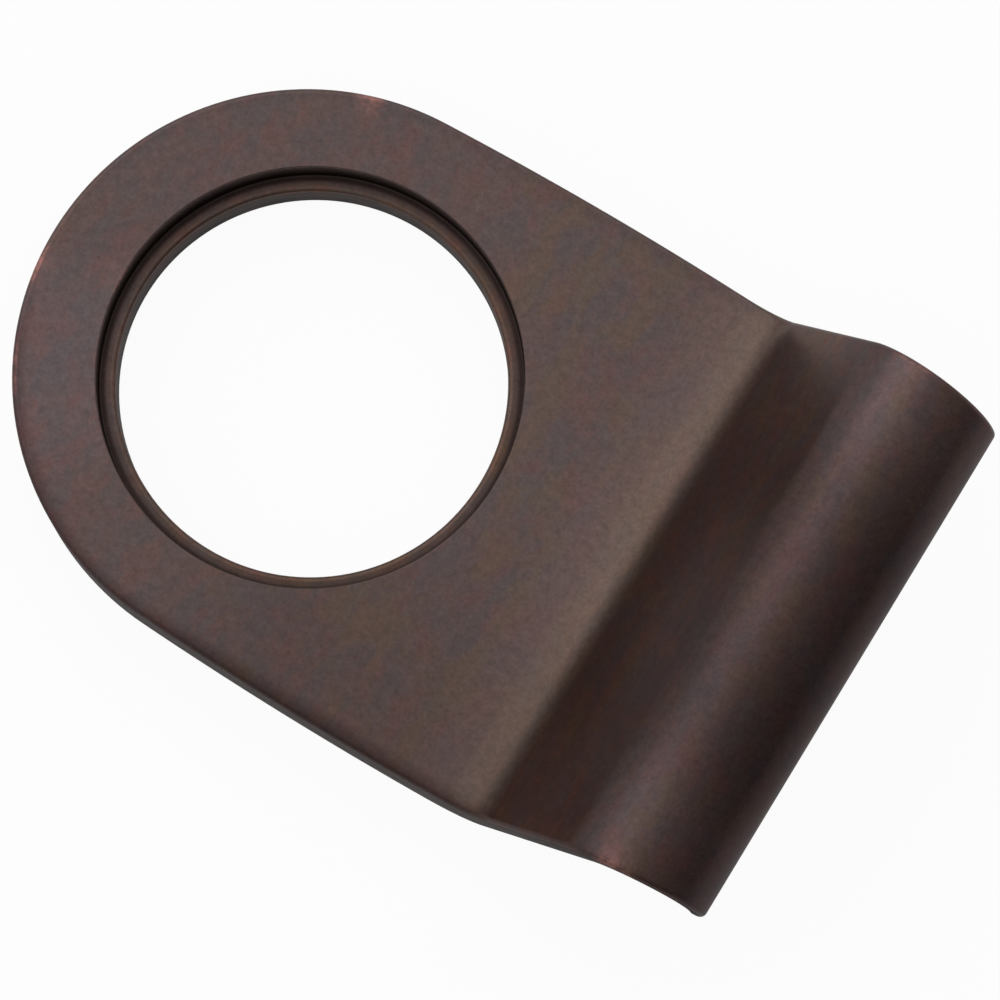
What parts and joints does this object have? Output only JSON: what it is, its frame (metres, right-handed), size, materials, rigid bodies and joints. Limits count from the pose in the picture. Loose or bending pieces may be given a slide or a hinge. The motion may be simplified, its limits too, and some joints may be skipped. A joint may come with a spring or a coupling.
{
  "type": "cylinder pull handle",
  "caption": "Door pull in dark aged bronze: a thick plate with a round end, a stepped bore for a lock cylinder and a bent, rolled finger lip.",
  "frame": {"origin": "middle of the lock bore on the flat back face", "axes": "+Z along the bore out of the face, +X from the bore towards the finger lip, +Y across the plate"},
  "size_m": [0.0761, 0.0492, 0.0239],
  "materials": {
    "aged_bronze": "satin dark bronze patina with rubbed copper edges"
  },
  "bodies": {
    "root": {"cylinder_pull": "aged_bronze"}
  },
  "joints": []
}
